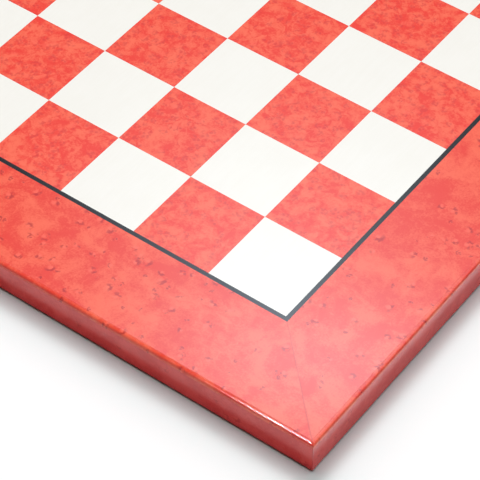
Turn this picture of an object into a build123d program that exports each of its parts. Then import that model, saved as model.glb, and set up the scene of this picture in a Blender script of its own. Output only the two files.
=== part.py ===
from build123d import *
import os

# A flat marquetry chess board: a panel core, a face of square veneers inside a black line and a
# wide mitred border, veneered sides, a backing veneer and a felt base. Millimetres, +Z up. The
# origin is the centre of the felt's underside, and the first player sits on the -Y side.

# Plan sizes
SQUARE = 38.5  # side of one playing square
LINE_WIDTH = 2.0  # black line round the playing field
BORDER_WIDTH = 44.2  # from the black line to the outer side
RANKS = 8  # rows of squares, and as many files

# Layers
FELT_THICKNESS = 1.0
BACKING_THICKNESS = 2.0  # veneer that balances the face, so that the panel stays flat
CORE_THICKNESS = 11.5  # fibreboard panel
FACE_THICKNESS = 2.0  # squares and border, with their lacquer
SIDE_THICKNESS = 2.0  # veneer on the four sides, with its lacquer

# Fits and edges
LINE_SEAT = 1.0  # how far the black line is let into the core
GLUE_GAP = 0.05  # room for glue on each side of the line in the core
FELT_INSET = 3.0  # from the outer side to the felt
EDGE_ROUNDING = 1.2  # upper outer edges, which meet at crisp corners
FOOT_ROUNDING = 0.4  # lower outer edges
FELT_ROUNDING = 4.0  # corners of the felt, in plan

# Levels and overall sizes that follow from them
BACKING_LEVEL = FELT_THICKNESS
CORE_LEVEL = BACKING_LEVEL + BACKING_THICKNESS
FACE_LEVEL = CORE_LEVEL + CORE_THICKNESS
LINE_LEVEL = FACE_LEVEL - LINE_SEAT
FIELD = RANKS * SQUARE
LINE_OUTER = FIELD + 2 * LINE_WIDTH
BOARD = LINE_OUTER + 2 * BORDER_WIDTH
PANEL = BOARD - 2 * SIDE_THICKNESS

RIM = (Align.CENTER, Align.CENTER, Align.MIN)
SIDES = ("front", "right", "back", "left")


def slab(width, level, height):
    """A square plate standing on a level."""
    return Pos(0, 0, level) * Box(width, width, height, align=RIM)


def frame(outer, inner, level, height):
    """A square ring standing on a level."""
    return slab(outer, level, height) - slab(inner, level, height)


def mitred(ring):
    """Cut a ring along its diagonals into the four pieces that meet at mitres."""
    reach = BOARD
    wedge = make_face(Polyline((0, 0), (-reach, -reach), (reach, -reach), close=True))
    cutter = extrude(wedge, amount=reach)
    quarter = 360 / len(SIDES)
    return {side: ring & (Rot(0, 0, turn * quarter) * cutter) for turn, side in enumerate(SIDES)}


def border_ring():
    """Face veneer of the border, with its upper outer edge rounded over."""
    block = slab(BOARD, FACE_LEVEL, FACE_THICKNESS)
    block = fillet(block.faces().sort_by(Axis.Z)[-1].edges(), EDGE_ROUNDING)
    return block - slab(LINE_OUTER, FACE_LEVEL, FACE_THICKNESS)


def side_ring():
    """Veneer on the four sides, covering the core and the backing."""
    height = FACE_LEVEL - BACKING_LEVEL
    block = slab(BOARD, BACKING_LEVEL, height)
    block = fillet(block.faces().sort_by(Axis.Z)[0].edges(), FOOT_ROUNDING)
    return block - slab(PANEL, BACKING_LEVEL, height)


def line_ring():
    """Black line, standing in its groove and flush with the face."""
    return frame(LINE_OUTER, FIELD, LINE_LEVEL, LINE_SEAT + FACE_THICKNESS)


def core_panel():
    """Core with the groove that the black line stands in."""
    groove = frame(LINE_OUTER + 2 * GLUE_GAP, FIELD - 2 * GLUE_GAP, LINE_LEVEL, LINE_SEAT)
    return slab(PANEL, CORE_LEVEL, CORE_THICKNESS) - groove


def felt_base():
    """Felt under the board, set in from the sides so that it doesn't show."""
    felt = slab(BOARD - 2 * FELT_INSET, 0, FELT_THICKNESS)
    return fillet(felt.edges().filter_by(Axis.Z), FELT_ROUNDING)


def rank_squares(rank, light):
    """The light or the dark squares of one rank, counted from the first player."""
    first = -FIELD / 2 + SQUARE / 2
    square = Box(SQUARE, SQUARE, FACE_THICKNESS, align=RIM)
    squares = []
    for file in range(RANKS):
        # The first player's right-hand corner square is light.
        if ((rank + file) % 2 == 1) == light:
            squares.append(Pos(first + file * SQUARE, first + rank * SQUARE, FACE_LEVEL) * square)
    return Compound(children=squares)


def all_nodes():
    """Every separate piece of the board, by name."""
    nodes = {
        "core_panel": core_panel(),
        "backing_veneer": slab(PANEL, BACKING_LEVEL, BACKING_THICKNESS),
        "felt_base": felt_base(),
    }
    rings = {"border_veneer": border_ring(), "side_veneer": side_ring(), "black_line": line_ring()}
    for name, ring in rings.items():
        for side, piece in mitred(ring).items():
            nodes[f"{name}_{side}"] = piece
    for rank in range(RANKS):
        nodes[f"rank_{rank + 1}_ivory_squares"] = rank_squares(rank, light=True)
        nodes[f"rank_{rank + 1}_red_squares"] = rank_squares(rank, light=False)
    return nodes


os.makedirs("parts", exist_ok=True)
for node, shape in all_nodes().items():
    export_step(shape, f"parts/{node}.step")
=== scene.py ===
"""Looks of a flat marquetry chess board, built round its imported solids.

Metres throughout, in the solids' own frame: +Z up, +Y away from the first player.
"""

import logging
import math
from dataclasses import dataclass
from enum import Enum
from typing import Callable, Optional, Union

import bmesh
import bpy
from mathutils import Matrix, Vector


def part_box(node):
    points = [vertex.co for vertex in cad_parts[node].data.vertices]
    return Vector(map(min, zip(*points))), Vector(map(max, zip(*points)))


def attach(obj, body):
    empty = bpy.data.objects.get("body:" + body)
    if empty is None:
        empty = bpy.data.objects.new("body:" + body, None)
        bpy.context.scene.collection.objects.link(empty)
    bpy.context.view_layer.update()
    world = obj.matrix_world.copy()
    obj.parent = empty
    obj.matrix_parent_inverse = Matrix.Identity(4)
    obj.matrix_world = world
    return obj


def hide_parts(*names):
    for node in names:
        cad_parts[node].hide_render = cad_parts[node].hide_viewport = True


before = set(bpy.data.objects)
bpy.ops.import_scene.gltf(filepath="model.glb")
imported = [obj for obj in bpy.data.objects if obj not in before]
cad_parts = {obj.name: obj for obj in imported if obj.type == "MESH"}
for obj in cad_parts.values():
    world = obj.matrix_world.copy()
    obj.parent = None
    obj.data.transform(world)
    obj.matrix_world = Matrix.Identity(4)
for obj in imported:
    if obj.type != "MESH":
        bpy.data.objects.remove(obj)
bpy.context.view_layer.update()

LOG = logging.getLogger("chess_board")
BODY = "root"
MM = 0.001
RANKS = 8
NEAR = 1e-6  # two places closer than this count as one
SAME = 1e-7  # the same, for vertices of one mesh

Socket = bpy.types.NodeSocket
Value = Union[Socket, float, tuple[float, ...]]
Color = tuple[float, float, float]
Triple = tuple[float, float, float]
Span = tuple[float, float]


class Side(Enum):
    """The board's four sides, each with its quarter turns from the first player's side."""

    FRONT = 0
    RIGHT = 1
    BACK = 2
    LEFT = 3

    @property
    def word(self) -> str:
        """The side's name as the solids spell it."""
        return self.name.lower()

    @property
    def turn(self) -> Matrix:
        """The turn about +Z that carries the front side here."""
        return Matrix.Rotation(self.value * math.pi / 2, 4, "Z")

    @property
    def laid_flat(self) -> Triple:
        """Angles that lay this side's upright face in the plane of X and Y, its top to +Y."""
        tipped = Matrix.Rotation(-math.pi / 2, 4, "X") @ self.turn.inverted()
        return tuple(tipped.to_euler("XYZ"))


@dataclass(frozen=True)
class BoardSizes:
    """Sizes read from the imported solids."""

    half_board: float
    half_panel: float
    half_line: float
    half_field: float
    top: float
    face_level: float
    side_level: float

    @classmethod
    def from_frame(cls) -> "BoardSizes":
        """Read the sizes from the boxes of the solids.

        Returns:
            The sizes in metres.
        """
        border_low, border_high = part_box("border_veneer_front")
        side_low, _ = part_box("side_veneer_front")
        line_low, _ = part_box("black_line_front")
        panel_low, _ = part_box("core_panel")
        square_low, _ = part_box("rank_1_red_squares")
        return cls(
            half_board=-border_low.y,
            half_panel=-panel_low.y,
            half_line=-line_low.y,
            half_field=-square_low.y,
            top=border_high.z,
            face_level=border_low.z,
            side_level=side_low.z,
        )

    @property
    def square(self) -> float:
        """Side of one playing square."""
        return 2 * self.half_field / RANKS


@dataclass(frozen=True)
class EdgeSizes:
    """Sizes of the outer edges, which the border and the sides share.

    The top rolls off over roll_width by roll_drop, and roll_start eases the bend where the
    roll-off begins. The smooth shading of the upright corners keeps within corner_shading.
    """

    roll_width: float = 1.75 * MM
    roll_drop: float = 0.15 * MM
    roll_start: float = 0.35 * MM
    rounding: float = 0.8 * MM
    foot: float = 0.4 * MM
    corner: float = 0.3 * MM
    corner_shading: float = 0.2 * MM


SIZES = BoardSizes.from_frame()
EDGES = EdgeSizes()


class Graph:
    """Adds linked nodes to one node tree."""

    def __init__(self, tree: bpy.types.NodeTree) -> None:
        """Keep the tree that the nodes go into."""
        self.tree = tree

    def put(self, socket: Socket, value: Value) -> None:
        """Link a socket, or set its constant.

        Args:
            socket: The input to fill.
            value: A socket to link from, or a constant.
        """
        if isinstance(value, bpy.types.NodeSocket):
            self.tree.links.new(value, socket)
        elif isinstance(value, tuple) and socket.type == "RGBA" and len(value) == 3:
            socket.default_value = (*value, 1.0)
        else:
            socket.default_value = value

    def add(self, kind: str, inputs: Optional[dict[Union[str, int], Value]] = None,
            **settings: object) -> bpy.types.Node:
        """Add one node.

        Args:
            kind: Blender's name for the node's type.
            inputs: Values or links by the input's name or number.
            **settings: The node's own properties.

        Returns:
            The new node.
        """
        node = self.tree.nodes.new(kind)
        for name, value in settings.items():
            setattr(node, name, value)
        for key, value in (inputs or {}).items():
            self.put(node.inputs[key], value)
        return node

    def math(self, operation: str, a: Value, b: Value = 0.0, c: Value = 0.0) -> Socket:
        """Return the value of a Math node."""
        return self.add("ShaderNodeMath", {0: a, 1: b, 2: c}, operation=operation).outputs[0]

    def vector(self, operation: str, a: Value, b: Value = (0.0, 0.0, 0.0)) -> Socket:
        """Add a Vector Math node and return its vector."""
        node = self.add("ShaderNodeVectorMath", {0: a, 1: b}, operation=operation)
        return node.outputs["Vector"]

    def scaled(self, a: Value, factor: Value) -> Socket:
        """Scale a vector by a number."""
        node = self.add("ShaderNodeVectorMath", {0: a, "Scale": factor}, operation="SCALE")
        return node.outputs["Vector"]

    def length(self, a: Value) -> Socket:
        """Return the length of a vector."""
        return self.add("ShaderNodeVectorMath", {0: a}, operation="LENGTH").outputs["Value"]

    def dot(self, a: Value, b: Value) -> Socket:
        """Return the dot product of two vectors."""
        node = self.add("ShaderNodeVectorMath", {0: a, 1: b}, operation="DOT_PRODUCT")
        return node.outputs["Value"]

    def ease(self, value: Value, low: Value, high: Value, start: float = 0.0,
             end: float = 1.0) -> Socket:
        """Ease a value from start at low to end at high.

        Args:
            value: The value that is mapped.
            low: Where the easing begins.
            high: Where it ends.
            start: What it gives at low and before.
            end: What it gives at high and after.

        Returns:
            The eased value.
        """
        node = self.add("ShaderNodeMapRange", interpolation_type="SMOOTHSTEP")
        for key, item in (("Value", value), ("From Min", low), ("From Max", high),
                          ("To Min", start), ("To Max", end)):
            self.put(node.inputs[key], item)
        return node.outputs["Result"]

    def mix(self, share: Value, a: Value, b: Value) -> Socket:
        """Mix two colours.

        Args:
            share: How much of the second colour there is.
            a: The first colour.
            b: The second colour.

        Returns:
            The mixed colour.
        """
        node = self.add("ShaderNodeMix", data_type="RGBA")
        self.put(node.inputs[0], share)
        self.put(node.inputs[6], a)
        self.put(node.inputs[7], b)
        return node.outputs[2]

    def noise(self, vector: Value, scale: Value, detail: float = 2.0,
              roughness: float = 0.5, distortion: float = 0.0) -> bpy.types.Node:
        """Add a three-dimensional noise texture.

        Args:
            vector: Where the noise is read.
            scale: Its scale, per metre.
            detail: How many octaves it has beyond the first.
            roughness: How much the finer octaves weigh.
            distortion: How far it is twisted.

        Returns:
            The texture node.
        """
        return self.add("ShaderNodeTexNoise", {
            "Vector": vector, "Scale": scale, "Detail": detail, "Roughness": roughness,
            "Distortion": distortion})

    def object_point(self) -> Socket:
        """Return the object's own coordinates."""
        return self.add("ShaderNodeTexCoord").outputs["Object"]

    def group(self, tree: bpy.types.NodeTree, inputs: dict[Union[str, int], Value]
              ) -> bpy.types.Node:
        """Place a node group with its values.

        Args:
            tree: The group.
            inputs: Values or links by the input's name or number.

        Returns:
            The group's node.
        """
        node = self.tree.nodes.new("ShaderNodeGroup")
        node.node_tree = tree
        for key, value in inputs.items():
            self.put(node.inputs[key], value)
        return node


def new_group(name: str, inputs: dict[str, str], outputs: dict[str, str]
              ) -> tuple[Graph, bpy.types.Node, bpy.types.Node]:
    """Make an empty shader node group.

    Args:
        name: The group's name.
        inputs: Socket types by input name.
        outputs: Socket types by output name.

    Returns:
        The group's graph, its input node and its output node.
    """
    tree = bpy.data.node_groups.new(name, "ShaderNodeTree")
    for direction, sockets in (("INPUT", inputs), ("OUTPUT", outputs)):
        for title, kind in sockets.items():
            tree.interface.new_socket(title, in_out=direction, socket_type=kind)
    graph = Graph(tree)
    return graph, graph.add("NodeGroupInput"), graph.add("NodeGroupOutput")


FLOAT = "NodeSocketFloat"
VECTOR = "NodeSocketVector"
IN_PLANE = (1.0, 1.0, 0.0)
MIDDLE = (0.5, 0.5, 0.5)
CUT_SPREAD = 3.0  # metres of figure that the squares' cuts are taken from


def build_square_cut() -> bpy.types.NodeTree:
    """Make the group that gives each playing square its own cut of veneer.

    Returns:
        A group that shifts the coordinates square by square, with a mask of the glue lines
        between the squares.
    """
    graph, start, end = new_group(
        "Square Cut", {"Vector": VECTOR, "Square": FLOAT, "Glue Line": FLOAT},
        {"Cut": VECTOR, "Glue": FLOAT})
    point, square = start.outputs["Vector"], start.outputs["Square"]
    flat = graph.vector("MULTIPLY", point, IN_PLANE)
    cells = graph.scaled(flat, graph.math("DIVIDE", 1.0, square))
    number = graph.vector("FLOOR", cells)
    middle = graph.vector("SUBTRACT", graph.vector("SUBTRACT", cells, number), (0.5, 0.5, 0.0))
    lot = graph.add("ShaderNodeTexWhiteNoise", {"Vector": number}).outputs["Color"]
    cut = graph.vector("ADD", point, graph.scaled(lot, CUT_SPREAD))
    reach = graph.add("ShaderNodeSeparateXYZ", {0: graph.vector("ABSOLUTE", middle)})
    nearest = graph.math("MAXIMUM", reach.outputs["X"], reach.outputs["Y"])
    gap = graph.math("MULTIPLY", graph.math("SUBTRACT", 0.5, nearest), square)
    glue = graph.ease(gap, 0.0, start.outputs["Glue Line"], 1.0, 0.0)
    graph.put(end.inputs["Cut"], cut)
    graph.put(end.inputs["Glue"], glue)
    return graph.tree


@dataclass(frozen=True)
class BurlPattern:
    """Proportions of the burl figure.

    Scales are per metre. Shares of the cloud size or of the eye scale have "share" in their
    names. Spans of an eye are in its radii.
    """

    drift_share: float = 0.6
    warp_share: float = 1.2
    cloud_twist: float = 0.3
    mottle_scale: float = 290.0
    mottle_twist: float = 0.6
    grain_scale: float = 1100.0
    grain_weight: float = 0.35
    tone: Span = (0.36, 0.64)
    ragged_scale: float = 550.0
    ragged_reach: float = 1.6 * MM
    eye_size: Span = (0.6, 0.8)
    crowd_share: float = 0.3
    crowd: Span = (0.38, 0.6)
    crowd_factor: Span = (0.35, 1.3)
    ring_inside: Span = (0.5, 1.2)
    ring_outside: Span = (1.7, 2.7)
    facing: Span = (-0.5, 0.8)
    bead_scale: float = 700.0
    beads: Span = (0.32, 0.62)
    pore: Span = (0.1, 1.2)
    spot: Span = (0.3, 1.6)
    lot_scales: Span = (977.0, 311.0)


def build_burl(pattern: BurlPattern) -> bpy.types.NodeTree:
    """Make the group that draws the burl figure in the plane of its coordinates' X and Y.

    Each eye is a light spot with a broken dark crescent on one side.

    Args:
        pattern: The figure's proportions.

    Returns:
        A group with a cloudy tone from 0, dark, to 1, light, and masks of the dark marks and
        of the light spots.
    """
    graph, start, end = new_group(
        "Burl", {"Vector": VECTOR, "Cloud Size": FLOAT, "Mottle": FLOAT,
                 "Eye Spacing": FLOAT, "Eye Share": FLOAT, "Eye Radius": FLOAT,
                 "Dot Share": FLOAT},
        {"Tone": FLOAT, "Eye": FLOAT, "Halo": FLOAT})
    point = start.outputs["Vector"]
    cloud_size = start.outputs["Cloud Size"]
    cloud_scale = graph.math("DIVIDE", 1.0, cloud_size)
    drift = graph.noise(point, graph.math("MULTIPLY", cloud_scale, pattern.drift_share), 1.0)
    drifted = graph.vector("SUBTRACT", drift.outputs["Color"], MIDDLE)
    warp = graph.scaled(drifted, graph.math("MULTIPLY", cloud_size, pattern.warp_share))
    flowing = graph.vector("ADD", point, warp)
    cloud = graph.noise(flowing, cloud_scale, 3.0, 0.5, pattern.cloud_twist).outputs[0]
    mottle = graph.noise(
        flowing, pattern.mottle_scale, 2.0, 0.5, pattern.mottle_twist).outputs[0]
    rest = graph.math("SUBTRACT", 1.0, start.outputs["Mottle"])
    blotched = graph.math("MULTIPLY_ADD", mottle, start.outputs["Mottle"],
                          graph.math("MULTIPLY", cloud, rest))
    grain = graph.noise(point, pattern.grain_scale, 3.0, 0.65).outputs[0]
    tone = graph.math("MULTIPLY_ADD", graph.math("SUBTRACT", grain, 0.5),
                      pattern.grain_weight, blotched)

    ragged = graph.noise(point, pattern.ragged_scale, 1.0).outputs["Color"]
    shaken = graph.scaled(graph.vector("SUBTRACT", ragged, MIDDLE), pattern.ragged_reach)
    seen = graph.vector("ADD", point, shaken)
    eye_scale = graph.math("DIVIDE", 1.0, start.outputs["Eye Spacing"])
    cells = graph.add("ShaderNodeTexVoronoi", {
        "Vector": seen, "Scale": eye_scale, "Randomness": 1.0}, feature="F1",
        voronoi_dimensions="2D")
    middle = cells.outputs["Position"]
    away = graph.vector("SUBTRACT", graph.vector("MULTIPLY", seen, IN_PLANE), middle)
    lot, roll = (
        graph.add("ShaderNodeTexWhiteNoise", {"Vector": graph.scaled(middle, scale)}).outputs
        for scale in pattern.lot_scales)
    least, spread = pattern.eye_size
    size = graph.math("MULTIPLY", start.outputs["Eye Radius"],
                      graph.math("MULTIPLY_ADD", lot["Value"], spread, least))
    radius = graph.math("DIVIDE", graph.length(away), size)
    crowd = graph.noise(
        point, graph.math("MULTIPLY", eye_scale, pattern.crowd_share), 1.0).outputs[0]
    share = graph.math("MULTIPLY", start.outputs["Eye Share"],
                       graph.ease(crowd, *pattern.crowd, *pattern.crowd_factor))
    there = graph.math("LESS_THAN", roll["Value"], share)
    toward = graph.vector(
        "MULTIPLY", graph.vector("SUBTRACT", lot["Color"], MIDDLE), IN_PLANE)
    facing = graph.dot(graph.vector("NORMALIZE", away), graph.vector("NORMALIZE", toward))
    ring = graph.math("MULTIPLY", graph.ease(radius, *pattern.ring_inside),
                      graph.ease(radius, *pattern.ring_outside, 1.0, 0.0))
    crescent = graph.math("MULTIPLY", ring, graph.ease(facing, *pattern.facing))
    beads = graph.noise(point, pattern.bead_scale, 0.0).outputs[0]
    broken = graph.math("MULTIPLY", crescent, graph.ease(beads, *pattern.beads))
    pore = graph.math("MULTIPLY", graph.ease(radius, *pattern.pore, 1.0, 0.0), graph.math(
        "LESS_THAN", lot["Value"], start.outputs["Dot Share"]))
    eye = graph.math("MULTIPLY", graph.math("MAXIMUM", broken, pore), there)
    spot = graph.ease(radius, *pattern.spot, 1.0, 0.0)
    halo = graph.math("MULTIPLY", graph.math("MULTIPLY", spot, there),
                      graph.math("SUBTRACT", 1.0, eye))
    graph.put(end.inputs["Tone"], graph.ease(tone, *pattern.tone))
    graph.put(end.inputs["Eye"], eye)
    graph.put(end.inputs["Halo"], halo)
    return graph.tree


SQUARE_CUT = build_square_cut()
BURL = build_burl(BurlPattern())

WOOD_ROUGHNESS = 0.6
COAT_ROUGHNESS = 0.03
LACQUER_IOR = 1.5


def lacquered(graph: Graph, color: Value) -> None:
    """Give a material the surface of coloured wood under clear polished lacquer.

    The wood has no gloss of its own, because the lacquer wets it.

    Args:
        graph: The material's graph.
        color: The wood's colour.
    """
    shader = graph.add("ShaderNodeBsdfPrincipled", {
        "Base Color": color, "Roughness": WOOD_ROUGHNESS, "Specular IOR Level": 0.0,
        "Coat Weight": 1.0, "Coat Roughness": COAT_ROUGHNESS, "Coat IOR": LACQUER_IOR})
    graph.add("ShaderNodeOutputMaterial", {"Surface": shader.outputs[0]})


def new_material(name: str) -> tuple[bpy.types.Material, Graph]:
    """Make a material with an empty node tree.

    Args:
        name: The material's name.

    Returns:
        The material and its graph.
    """
    material = bpy.data.materials.new(name)
    material.use_nodes = True
    material.node_tree.nodes.clear()
    return material, Graph(material.node_tree)


@dataclass(frozen=True)
class BurlFinish:
    """Red dyed burl under clear lacquer."""

    name: str
    turn: Triple = (0.0, 0.0, 0.0)
    shift: Triple = (0.0, 0.0, 0.0)
    cut_in_squares: bool = False
    cloud_size: float = 14 * MM
    mottle: float = 0.3
    eye_spacing: float = 7.0 * MM
    eye_share: float = 0.6
    eye_radius: float = 0.85 * MM
    dot_share: float = 0.3
    halo_strength: float = 0.7
    eye_strength: float = 0.7
    light: Color = (0.935, 0.134, 0.068)
    dark: Color = (0.82, 0.048, 0.026)
    eye: Color = (0.42, 0.010, 0.016)
    halo: Color = (0.98, 0.150, 0.090)
    glue_line: float = 0.35 * MM
    glue_strength: float = 0.3
    mitre: Span = (0.1 * MM, 0.8 * MM)

    def material(self) -> bpy.types.Material:
        """Build the material.

        Returns:
            The material, which reads object coordinates.
        """
        material, graph = new_material(self.name)
        point = graph.object_point()
        if self.cut_in_squares:
            cut = graph.group(SQUARE_CUT, {
                "Vector": point, "Square": SIZES.square, "Glue Line": self.glue_line})
            figure_point, glue = cut.outputs["Cut"], cut.outputs["Glue"]
        else:
            figure_point = graph.add("ShaderNodeMapping", {
                "Vector": point, "Rotation": self.turn,
                "Location": self.shift}).outputs[0]
            glue = self.mitre_line(graph, point)
        burl = graph.group(BURL, {
            "Vector": figure_point, "Cloud Size": self.cloud_size, "Mottle": self.mottle,
            "Eye Spacing": self.eye_spacing, "Eye Share": self.eye_share,
            "Eye Radius": self.eye_radius, "Dot Share": self.dot_share})
        color = graph.mix(burl.outputs["Tone"], self.dark, self.light)
        color = graph.mix(graph.math("MULTIPLY", burl.outputs["Halo"], self.halo_strength),
                          color, self.halo)
        color = graph.mix(graph.math("MULTIPLY", burl.outputs["Eye"], self.eye_strength),
                          color, self.eye)
        color = graph.mix(graph.math("MULTIPLY", glue, self.glue_strength), color, self.eye)
        lacquered(graph, color)
        return material

    def mitre_line(self, graph: Graph, point: Socket) -> Socket:
        """Draw the hairline where two veneers meet at a mitre.

        Args:
            graph: The material's graph.
            point: The object's own coordinates.

        Returns:
            A mask of the line.
        """
        part = graph.add("ShaderNodeSeparateXYZ", {0: graph.vector("ABSOLUTE", point)})
        apart = graph.math("SUBTRACT", part.outputs["X"], part.outputs["Y"])
        return graph.ease(graph.math("ABSOLUTE", apart), *self.mitre, 1.0, 0.0)


@dataclass(frozen=True)
class MapleFinish:
    """Pale maple under clear lacquer, cut in squares."""

    name: str = "ivory_maple"
    light: Color = (0.905, 0.887, 0.834)
    dark: Color = (0.890, 0.870, 0.812)
    stretch: Triple = (1.0, 0.08, 1.0)
    grain_scale: float = 900.0
    cloud_scale: float = 70.0
    tone: Span = (0.35, 0.65)

    def material(self) -> bpy.types.Material:
        """Build the material.

        Returns:
            The material, which reads object coordinates.
        """
        material, graph = new_material(self.name)
        cut = graph.group(SQUARE_CUT, {
            "Vector": graph.object_point(), "Square": SIZES.square}).outputs["Cut"]
        along = graph.vector("MULTIPLY", cut, self.stretch)
        grain = graph.noise(along, self.grain_scale, 3.0, 0.6).outputs[0]
        cloud = graph.noise(cut, self.cloud_scale, 2.0).outputs[0]
        tone = graph.math("ADD", graph.math("MULTIPLY", grain, 0.5),
                          graph.math("MULTIPLY", cloud, 0.5))
        color = graph.mix(graph.ease(tone, *self.tone), self.dark, self.light)
        lacquered(graph, color)
        return material


@dataclass(frozen=True)
class BlackLineFinish:
    """Black dyed veneer under clear lacquer."""

    name: str = "black_line"
    deep: Color = (0.003, 0.003, 0.003)
    pale: Color = (0.010, 0.010, 0.010)
    grain_scale: float = 600.0
    tone: Span = (0.4, 0.7)

    def material(self) -> bpy.types.Material:
        """Build the material.

        Returns:
            The material, which reads object coordinates.
        """
        material, graph = new_material(self.name)
        grain = graph.noise(graph.object_point(), self.grain_scale, 3.0).outputs[0]
        lacquered(graph, graph.mix(graph.ease(grain, *self.tone), self.deep, self.pale))
        return material


@dataclass(frozen=True)
class PlainFinish:
    """A matt fibrous material: raw board, plain veneer or felt."""

    name: str
    light: Color
    dark: Color
    grain_size: float
    stretch: Triple = (1.0, 1.0, 1.0)
    tone: Span = (0.3, 0.7)
    roughness: float = 0.85
    bump: float = 0.3

    def material(self) -> bpy.types.Material:
        """Build the material.

        Returns:
            The material, which reads object coordinates.
        """
        material, graph = new_material(self.name)
        along = graph.vector("MULTIPLY", graph.object_point(), self.stretch)
        grain = graph.noise(along, 1 / self.grain_size, 4.0, 0.6).outputs[0]
        color = graph.mix(graph.ease(grain, *self.tone), self.dark, self.light)
        bump = graph.add("ShaderNodeBump", {
            "Height": grain, "Strength": self.bump, "Distance": self.grain_size})
        shader = graph.add("ShaderNodeBsdfPrincipled", {
            "Base Color": color, "Roughness": self.roughness,
            "Normal": bump.outputs["Normal"]})
        graph.add("ShaderNodeOutputMaterial", {"Surface": shader.outputs[0]})
        return material


def finished_piece(mesh: bmesh.types.BMesh, name: str, material: bpy.types.Material,
                   replaced: tuple[str, ...]) -> bpy.types.Object:
    """Turn a bmesh into a piece that stands for solids of the frame.

    Args:
        mesh: The finished bmesh, which is freed.
        name: The piece's name.
        material: Its material.
        replaced: The solids it stands for.

    Returns:
        The new object.
    """
    bmesh.ops.recalc_face_normals(mesh, faces=mesh.faces)
    data = bpy.data.meshes.new(name)
    mesh.to_mesh(data)
    mesh.free()
    data.materials.append(material)
    piece = bpy.data.objects.new(name, data)
    bpy.context.scene.collection.objects.link(piece)
    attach(piece, BODY)
    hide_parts(*replaced)
    LOG.info("%s: %d faces", name, len(data.polygons))
    return piece


def dress(node: str, material: bpy.types.Material) -> None:
    """Give a solid of the frame its material.

    Args:
        node: The solid's name.
        material: The material for all of its faces.
    """
    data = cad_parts[node].data
    data.materials.clear()
    data.materials.append(material)
    LOG.info("%s: dressed in %s", node, material.name)


def block(half: float, low: float, high: float) -> bmesh.types.BMesh:
    """Start a square block centred on the origin.

    Args:
        half: Half its width.
        low: Its lowest level.
        high: Its highest level.

    Returns:
        The new bmesh.
    """
    mesh = bmesh.new()
    bmesh.ops.create_cube(mesh, size=1.0)
    bmesh.ops.scale(mesh, vec=(2 * half, 2 * half, high - low), verts=mesh.verts)
    bmesh.ops.translate(mesh, vec=(0.0, 0.0, (low + high) / 2), verts=mesh.verts)
    return mesh


def round_edges(mesh: bmesh.types.BMesh, wanted: Callable[[bmesh.types.BMEdge], bool],
                radius: float, segments: int) -> None:
    """Round the edges that a test picks, and shade the rounding smooth.

    Args:
        mesh: The bmesh to change.
        wanted: Says of an edge whether it is rounded.
        radius: The rounding's radius.
        segments: Steps in the rounding.
    """
    edges = [edge for edge in mesh.edges if wanted(edge)]
    made = bmesh.ops.bevel(
        mesh, geom=edges, offset=radius, offset_type="OFFSET", segments=segments,
        profile=0.5, affect="EDGES", clamp_overlap=True, material=-1)
    for face in made["faces"]:
        face.smooth = True


def at_corner(edge: bmesh.types.BMEdge) -> bool:
    """Say whether an edge runs up one of the board's four corners."""
    return all(abs(abs(vert.co.x) - abs(vert.co.y)) < NEAR for vert in edge.verts)


def at_outer_corner(edge: bmesh.types.BMEdge) -> bool:
    """Say whether an edge runs up a corner of the board, outside its lowered rim."""
    rim = SIZES.half_board - EDGES.rounding - NEAR
    return at_corner(edge) and all(abs(vert.co.x) > rim for vert in edge.verts)


def at_level(level: float) -> Callable[[bmesh.types.BMEdge], bool]:
    """Return a test for edges that lie at a level."""
    return lambda edge: all(abs(vert.co.z - level) < NEAR for vert in edge.verts)


def lower_rim(mesh: bmesh.types.BMesh, width: float, drop: float) -> None:
    """Let the rim of a block's top fall away towards its outer edges.

    Args:
        mesh: The block to change.
        width: How far the fall reaches in from the outer edges.
        drop: How far the outer edges are lowered.
    """
    top = max(mesh.faces, key=lambda face: face.calc_center_median().z)
    corners = [vert.co.copy() for vert in top.verts]
    made = bmesh.ops.inset_region(mesh, faces=[top], thickness=width, use_even_offset=True)
    rim = [vert for vert in mesh.verts if any((vert.co - co).length < SAME for co in corners)]
    bmesh.ops.translate(mesh, vec=(0.0, 0.0, -drop), verts=rim)
    for face in made["faces"]:
        face.smooth = True


def fence_corners(mesh: bmesh.types.BMesh, half: float) -> None:
    """Cut a block close to its corners, so that their smooth shading stays close to them.

    Args:
        mesh: The block, which keeps its shape.
        half: Half its width.
    """
    for side in Side:
        outward = (side.turn @ Vector((0.0, -1.0, 0.0))).normalized()
        bmesh.ops.bisect_plane(
            mesh, geom=[*mesh.verts, *mesh.edges, *mesh.faces], dist=SAME,
            plane_co=outward * (half - EDGES.roll_width - EDGES.corner_shading),
            plane_no=outward)


def keep_side(mesh: bmesh.types.BMesh, side: Side, inner: float) -> None:
    """Cut a block down to the mitred piece of one side.

    Args:
        mesh: The block, which is changed.
        side: The side to keep.
        inner: Distance from the middle to the piece's inner face.
    """
    cuts = (((0.0, 0.0, 0.0), (1.0, 1.0, 0.0)), ((0.0, 0.0, 0.0), (-1.0, 1.0, 0.0)),
            ((0.0, -inner, 0.0), (0.0, 1.0, 0.0)))
    for place, normal in cuts:
        geometry = [*mesh.verts, *mesh.edges, *mesh.faces]
        made = bmesh.ops.bisect_plane(
            mesh, geom=geometry, dist=SAME, plane_co=side.turn @ Vector(place),
            plane_no=(side.turn.to_3x3() @ Vector(normal)).normalized(), clear_outer=True)
        rim = [item for item in made["geom_cut"] if isinstance(item, bmesh.types.BMEdge)]
        bmesh.ops.edgeloop_fill(mesh, edges=rim)


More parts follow.
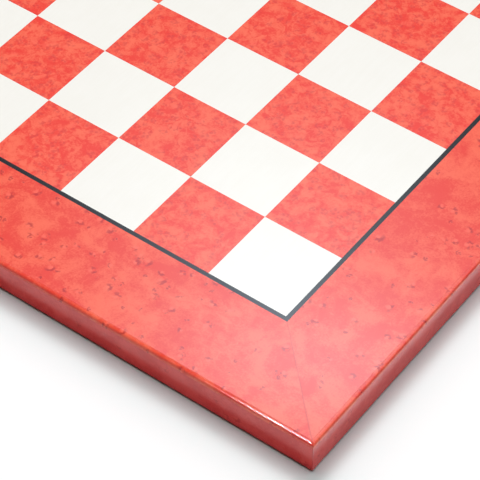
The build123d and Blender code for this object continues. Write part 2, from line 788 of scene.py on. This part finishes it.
@dataclass(frozen=True)
class Border:
    """The four mitred border veneers, whose lacquer rolls off to a rounded outer edge."""

    slot: str = "red_burl"
    edges: EdgeSizes = EDGES
    segments: int = 8
    start_segments: int = 4
    corner_segments: int = 3
    figure_start: float = -0.17
    figure_steps: Span = (0.31, 0.23)

    def build(self) -> None:
        """Build and dress the four veneers."""
        for side in Side:
            mesh = block(SIZES.half_board, SIZES.face_level, SIZES.top)
            lower_rim(mesh, self.edges.roll_width, self.edges.roll_drop)
            round_edges(mesh, at_level(SIZES.top - self.edges.roll_drop),
                        self.edges.rounding, self.segments)
            round_edges(mesh, at_level(SIZES.top), self.edges.roll_start, self.start_segments)
            round_edges(mesh, at_outer_corner, self.edges.corner, self.corner_segments)
            fence_corners(mesh, SIZES.half_board)
            keep_side(mesh, side, SIZES.half_line)
            across, upward = self.figure_steps
            finish = BurlFinish(
                f"red_burl_border_{side.word}",
                shift=(across * side.value, self.figure_start, upward * side.value))
            finished_piece(mesh, f"border_face_{side.word}", finish.material(),
                           (f"border_veneer_{side.word}",))


@dataclass(frozen=True)
class Sides:
    """The four veneers on the board's sides, eased at the foot."""

    slot: str = "red_burl"
    edges: EdgeSizes = EDGES
    foot_segments: int = 4
    corner_segments: int = 3
    light: Color = (0.87, 0.086, 0.078)
    dark: Color = (0.77, 0.053, 0.050)
    figure_start: float = 0.41
    figure_steps: Span = (0.53, -0.19)

    def build(self) -> None:
        """Build and dress the four veneers."""
        for side in Side:
            mesh = block(SIZES.half_board, SIZES.side_level, SIZES.face_level)
            round_edges(mesh, at_level(SIZES.side_level), self.edges.foot, self.foot_segments)
            round_edges(mesh, at_corner, self.edges.corner, self.corner_segments)
            fence_corners(mesh, SIZES.half_board)
            keep_side(mesh, side, SIZES.half_panel)
            across, upward = self.figure_steps
            finish = BurlFinish(
                f"red_burl_side_{side.word}", turn=side.laid_flat,
                shift=(across * side.value, self.figure_start, upward * side.value),
                eye_share=0.3, eye_strength=0.4, halo_strength=0.2, light=self.light,
                dark=self.dark)
            finished_piece(mesh, f"side_face_{side.word}", finish.material(),
                           (f"side_veneer_{side.word}",))


@dataclass(frozen=True)
class PlayingField:
    """The squares and the black line round them."""

    red: BurlFinish = BurlFinish(
        "red_burl_squares", cut_in_squares=True, cloud_size=8 * MM, mottle=0.5,
        eye_spacing=5.0 * MM, eye_share=0.8, eye_radius=1.2 * MM, dot_share=0.8,
        halo_strength=0.4, eye_strength=0.5, eye=(0.66, 0.036, 0.034),
        light=(0.945, 0.146, 0.076), dark=(0.86, 0.046, 0.026))
    ivory: MapleFinish = MapleFinish()
    black: BlackLineFinish = BlackLineFinish()

    def build(self) -> None:
        """Dress the squares and the line."""
        red, ivory = self.red.material(), self.ivory.material()
        for rank in range(1, RANKS + 1):
            dress(f"rank_{rank}_red_squares", red)
            dress(f"rank_{rank}_ivory_squares", ivory)
        black = self.black.material()
        for side in Side:
            dress(f"black_line_{side.word}", black)


@dataclass(frozen=True)
class FeltSheet:
    """The sheet of felt under the board, cut with rounded corners and soft at its rim."""

    node: str = "felt_base"
    slot: str = "felt"
    corner: float = 4.0 * MM
    lower_rim: float = 0.35 * MM
    upper_rim: float = 0.15 * MM
    corner_segments: int = 10
    rim_segments: int = 3
    finish: PlainFinish = PlainFinish(
        "felt", (0.020, 0.024, 0.021), (0.008, 0.010, 0.009), 0.4 * MM, roughness=0.95,
        bump=0.6)

    def build(self) -> None:
        """Build and dress the sheet."""
        low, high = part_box(self.node)
        mesh = block(high.x, low.z, high.z)
        round_edges(mesh, at_corner, self.corner, self.corner_segments)
        round_edges(mesh, at_level(low.z), self.lower_rim, self.rim_segments)
        round_edges(mesh, at_level(high.z), self.upper_rim, self.rim_segments)
        piece = finished_piece(
            mesh, "felt_sheet", self.finish.material(), (self.node,))


@dataclass(frozen=True)
class Base:
    """The core and the backing."""

    core: PlainFinish = PlainFinish(
        "fibreboard", (0.30, 0.19, 0.10), (0.20, 0.12, 0.06), 0.5 * MM)
    backing: PlainFinish = PlainFinish(
        "backing", (0.11, 0.035, 0.018), (0.06, 0.018, 0.010), 1 * MM,
        stretch=(1.0, 0.06, 1.0), roughness=0.5)

    def build(self) -> None:
        """Dress the layers under the face."""
        dress("core_panel", self.core.material())
        dress("backing_veneer", self.backing.material())


@dataclass(frozen=True)
class PhotoCamera:
    """A long lens above the board's front right corner, as in the reference."""

    place: Triple = (0.50657, -0.65519, 0.73196)
    azimuth: float = 36.816
    elevation: float = 47.590
    roll: float = -0.221
    lens: float = 178.33
    sensor: float = 36.0
    clip: Span = (0.01, 100.0)

    def build(self) -> None:
        """Make the camera and give it to the scene."""
        data = bpy.data.cameras.new("camera")
        data.lens, data.sensor_width, data.sensor_fit = self.lens, self.sensor, "HORIZONTAL"
        data.clip_start, data.clip_end = self.clip
        camera = bpy.data.objects.new("camera", data)
        bpy.context.scene.collection.objects.link(camera)
        azimuth, elevation = math.radians(self.azimuth), math.radians(self.elevation)
        back = Vector((math.sin(azimuth) * math.cos(elevation),
                       -math.cos(azimuth) * math.cos(elevation), math.sin(elevation)))
        right = Vector((0.0, 0.0, 1.0)).cross(back).normalized()
        axes = Matrix((right, back.cross(right), back)).transposed().to_4x4()
        roll = Matrix.Rotation(math.radians(self.roll), 4, "Z")
        camera.matrix_world = Matrix.Translation(self.place) @ axes @ roll
        bpy.context.scene.camera = camera


@dataclass(frozen=True)
class SoftLight:
    """A soft patch of the surroundings that lights the object."""

    azimuth: float
    elevation: float
    light: float
    tightness: float

    def radiance_along(self, graph: Graph, way: Socket) -> Socket:
        """Return the patch's radiance along a direction.

        Args:
            graph: The world's graph.
            way: The direction, of length 1.

        Returns:
            The radiance, which falls off with the angle from the patch's middle.
        """
        near = graph.dot(way, heading(self.azimuth, self.elevation))
        fall = graph.math("EXPONENT", graph.math(
            "MULTIPLY_ADD", near, self.tightness, -self.tightness))
        return graph.math("MULTIPLY", fall, self.light * self.tightness / 2)


@dataclass(frozen=True)
class MirroredLamp:
    """An oval bright patch of the surroundings, as polished lacquer mirrors it."""

    azimuth: float
    elevation: float
    radiance: float
    width: float
    height: float
    spin: float = 0.0

    def radiance_along(self, graph: Graph, way: Socket) -> Socket:
        """Return the patch's radiance along a direction.

        Args:
            graph: The world's graph.
            way: The direction, of length 1.

        Returns:
            The radiance, which falls off as a bell curve.
        """
        turn = math.radians(self.azimuth)
        middle = Vector(heading(self.azimuth, self.elevation))
        spin = Matrix.Rotation(math.radians(self.spin), 3, middle)
        along = spin @ Vector((math.cos(turn), -math.sin(turn), 0.0))
        upward = along.cross(middle)
        u = graph.math("DIVIDE", graph.dot(way, tuple(along)), math.radians(self.width))
        v = graph.math("DIVIDE", graph.dot(way, tuple(upward)), math.radians(self.height))
        away = graph.math("MULTIPLY_ADD", u, u, graph.math("MULTIPLY", v, v))
        fall = graph.math("EXPONENT", graph.math("MULTIPLY", away, -0.5))
        ahead = graph.math("GREATER_THAN", graph.dot(way, tuple(middle)), 0.0)
        return graph.math("MULTIPLY", graph.math("MULTIPLY", fall, ahead), self.radiance)


@dataclass(frozen=True)
class Studio:
    """A pale floor under soft light, strongest from behind and above.

    Mirrored rays meet a floor with a painted reflection: its colour is scaled down at the
    board's foot, a painted shade, and scaled beyond foot_reach, a painted glow beside the
    board, each given for the floor beside the board and for the floor in front of it. Other
    rays meet a painted shade at the foot, a floor colour darker and less red than floor, and
    floor beyond foot_fade.
    """

    floor_radius: float = 8.0
    floor_segments: int = 64
    floor: Color = (0.975, 0.98, 0.98)
    # painted shade: the floor's colour at the board's foot, darker and less red than floor
    painted_shade_foot_floor: Color = (0.870, 0.955, 0.955)
    foot_fade: Span = (2 * MM, 28 * MM)
    # painted reflection: scales of the floor's colour for glossy rays, a painted shade at the
    # foot and a painted glow further out
    painted_foot_shade: Span = (0.72, 0.16)
    painted_foot_glow: Span = (1.60, 1.00)
    foot_reach: Span = (3.4 * MM, 6.4 * MM)
    pale: float = 1.0
    mirrored_pale: float = 0.46
    mirrored_zenith: float = 0.04
    zenith_from: Span = (0.80, 0.86)
    mirrored_tint: Color = (0.86, 0.97, 1.12)
    soft_lights: tuple[SoftLight, ...] = (
        SoftLight(-40.0, 59.0, 0.323, 110.0), SoftLight(-40.0, 51.0, 0.064, 110.0),
        SoftLight(-22.0, 57.0, 0.052, 110.0), SoftLight(-58.0, 62.0, 0.020, 110.0),
        SoftLight(0.0, 90.0, 0.246, 25.0), SoftLight(-72.0, 68.0, 0.143, 25.0),
        SoftLight(72.0, 68.0, 0.118, 25.0), SoftLight(-45.0, 15.0, 0.370, 12.0),
        SoftLight(22.5, 42.0, 0.072, 12.0), SoftLight(-67.5, 42.0, 0.064, 12.0),
        SoftLight(-22.5, 42.0, 0.055, 12.0))
    mirrored: tuple[MirroredLamp, ...] = (
        MirroredLamp(-34.05, 50.58, 2.75, 2.51, 1.26),
        MirroredLamp(-35.32, 48.60, 2.30, 3.58, 3.00),
        MirroredLamp(-19.0, 55.0, 2.3, 5.5, 3.0),
        MirroredLamp(-28.0, 52.7, 2.2, 3.5, 1.7, spin=48.0),
        MirroredLamp(-70.5, 67.9, 320.0, 5.0, 0.9, spin=21.2))

    def build(self) -> None:
        """Make the floor and the world."""
        self.build_floor()
        self.build_world()

    def build_floor(self) -> None:
        """Make the pale floor, which is clear from below, with painted shade at the board's
        foot.
        """
        mesh = bmesh.new()
        bmesh.ops.create_circle(
            mesh, cap_ends=True, radius=self.floor_radius, segments=self.floor_segments)
        data = bpy.data.meshes.new("floor")
        mesh.to_mesh(data)
        mesh.free()
        material, graph = new_material("floor")
        part = graph.add("ShaderNodeSeparateXYZ", {
            0: graph.vector("ABSOLUTE", graph.object_point())}).outputs
        away = graph.math("SUBTRACT", graph.math("MAXIMUM", part["X"], part["Y"]),
                          SIZES.half_board)
        # Painted reflection: for glossy rays the floor's colour is scaled down at the board's
        # foot, a painted shade, and up beside the board further out, a painted glow.
        sideways, lengthways = (
            graph.ease(away, *self.foot_reach, near, far)
            for near, far in zip(self.painted_foot_shade, self.painted_foot_glow))
        beside = graph.math("GREATER_THAN", part["X"], part["Y"])
        shade = graph.math("MULTIPLY_ADD", beside, graph.math(
            "SUBTRACT", sideways, lengthways), lengthways)
        path = graph.add("ShaderNodeLightPath").outputs
        mirrored = graph.scaled(self.floor, shade)
        # painted shade: for other rays the floor is darker and less red at the board's foot
        plain = graph.mix(graph.ease(away, *self.foot_fade), self.painted_shade_foot_floor, self.floor)
        color = graph.mix(path["Is Glossy Ray"], plain, mirrored)
        shader = graph.add("ShaderNodeBsdfDiffuse", {"Color": color})
        glass = graph.add("ShaderNodeBsdfTransparent")
        below = graph.add("ShaderNodeNewGeometry").outputs["Backfacing"]
        both = graph.add("ShaderNodeMixShader", {
            0: below, 1: shader.outputs[0], 2: glass.outputs[0]})
        graph.add("ShaderNodeOutputMaterial", {"Surface": both.outputs[0]})
        data.materials.append(material)
        floor = bpy.data.objects.new("floor", data)
        bpy.context.scene.collection.objects.link(floor)

    def build_world(self) -> None:
        """Make the world: soft light for the object, and a pale ground for what is seen."""
        world = bpy.data.worlds.new("studio")
        world.use_nodes = True
        world.node_tree.nodes.clear()
        graph = Graph(world.node_tree)
        way = graph.vector("NORMALIZE", graph.add("ShaderNodeTexCoord").outputs["Generated"])
        lit: Value = 0.0
        for light in self.soft_lights:
            lit = graph.math("ADD", light.radiance_along(graph, way), lit)
        upward = graph.add("ShaderNodeSeparateXYZ", {0: way}).outputs["Z"]
        shown: Value = graph.ease(upward, *self.zenith_from, self.mirrored_pale,
                                  self.mirrored_zenith)
        for lamp in self.mirrored:
            shown = graph.math("ADD", lamp.radiance_along(graph, way), shown)
        tinted = graph.scaled(self.mirrored_tint, shown)
        path = graph.add("ShaderNodeLightPath").outputs
        tinted = graph.mix(path["Is Camera Ray"], tinted, (self.pale,) * 3)
        color = graph.mix(seen_ray(graph), lit, tinted)
        background = graph.add("ShaderNodeBackground", {"Color": color})
        graph.add("ShaderNodeOutputWorld", {"Surface": background.outputs[0]})
        bpy.context.scene.world = world


def seen_ray(graph: Graph) -> Socket:
    """Return 1 on rays that show a picture of what they meet, and 0 on the rest."""
    path = graph.add("ShaderNodeLightPath").outputs
    return graph.math("MAXIMUM", path["Is Camera Ray"], graph.math(
        "MAXIMUM", path["Is Glossy Ray"], path["Is Transmission Ray"]))


def heading(azimuth: float, elevation: float) -> Triple:
    """Return a unit vector from degrees: azimuth from +Y towards +X, and elevation."""
    turn, rise = math.radians(azimuth), math.radians(elevation)
    return (math.sin(turn) * math.cos(rise), math.cos(turn) * math.cos(rise), math.sin(rise))


def main() -> None:
    """Build the object's looks, then the studio and the camera."""
    logging.basicConfig(level=logging.INFO, format="%(name)s: %(message)s")
    bpy.context.scene.view_settings.view_transform = "Standard"
    parts = (Border(), Sides(), PlayingField(), Base(), FeltSheet(), Studio(), PhotoCamera())
    for part in parts:
        part.build()
        LOG.info("%s is built", type(part).__name__)


if __name__ == "__main__":
    main()
